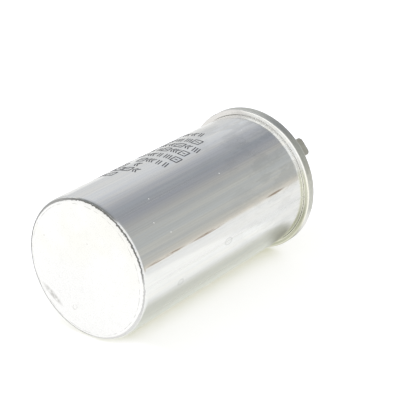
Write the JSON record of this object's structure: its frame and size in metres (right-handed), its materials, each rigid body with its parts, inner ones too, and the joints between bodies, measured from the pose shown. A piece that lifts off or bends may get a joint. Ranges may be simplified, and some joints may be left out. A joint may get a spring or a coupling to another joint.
{
  "type": "motor run capacitor",
  "caption": "Round capacitor in a drawn aluminium can with a double-seamed lid and two twin-blade push-on terminals, for running a single-phase motor.",
  "frame": {"origin": "middle of the closed base, on the plane it stands on", "axes": "+Z along the can's axis from the closed base to the terminals, +X towards terminal 1, so that both terminals lie on X"},
  "size_m": [0.0486, 0.0486, 0.097],
  "materials": {
    "drawn_aluminium": "bright drawn finish with fine lengthwise streaks",
    "pressed_aluminium": "bright pressed sheet",
    "sealing_compound": "dried compound",
    "seal_rubber": "matt moulded rubber",
    "base_moulding": "satin moulded",
    "tinned_strip": "dull tin plate",
    "rivet_metal": "bright plated",
    "white_moulding": "natural moulded plastic",
    "metallised_film": "wound metallised film",
    "sprayed_metal": "rough sprayed zinc",
    "wrap_film": "clear wound film",
    "tinned_wire": "bright tinned wire",
    "sleeve_plastic": "shrunk sleeve"
  },
  "bodies": {
    "root": {"can": "drawn_aluminium", "lid": "pressed_aluminium", "seam_sealant": "sealing_compound", "sealing_ring_1": "seal_rubber", "sealing_ring_2": "seal_rubber", "terminal_base_1": "base_moulding", "terminal_base_2": "base_moulding", "terminal_1": "tinned_strip", "terminal_2": "tinned_strip", "rivet_1": "rivet_metal", "rivet_2": "rivet_metal", "inner_washer_1": "white_moulding", "inner_washer_2": "white_moulding", "solder_lug_1": "tinned_strip", "solder_lug_2": "tinned_strip", "bottom_tray": "white_moulding", "core_tube": "white_moulding", "winding": "metallised_film", "end_spray_bottom": "sprayed_metal", "end_spray_top": "sprayed_metal", "outer_wrap": "wrap_film", "top_spacer": "white_moulding", "lead_1": "tinned_wire", "lead_2": "tinned_wire", "lead_sleeve": "sleeve_plastic"}
  },
  "joints": []
}
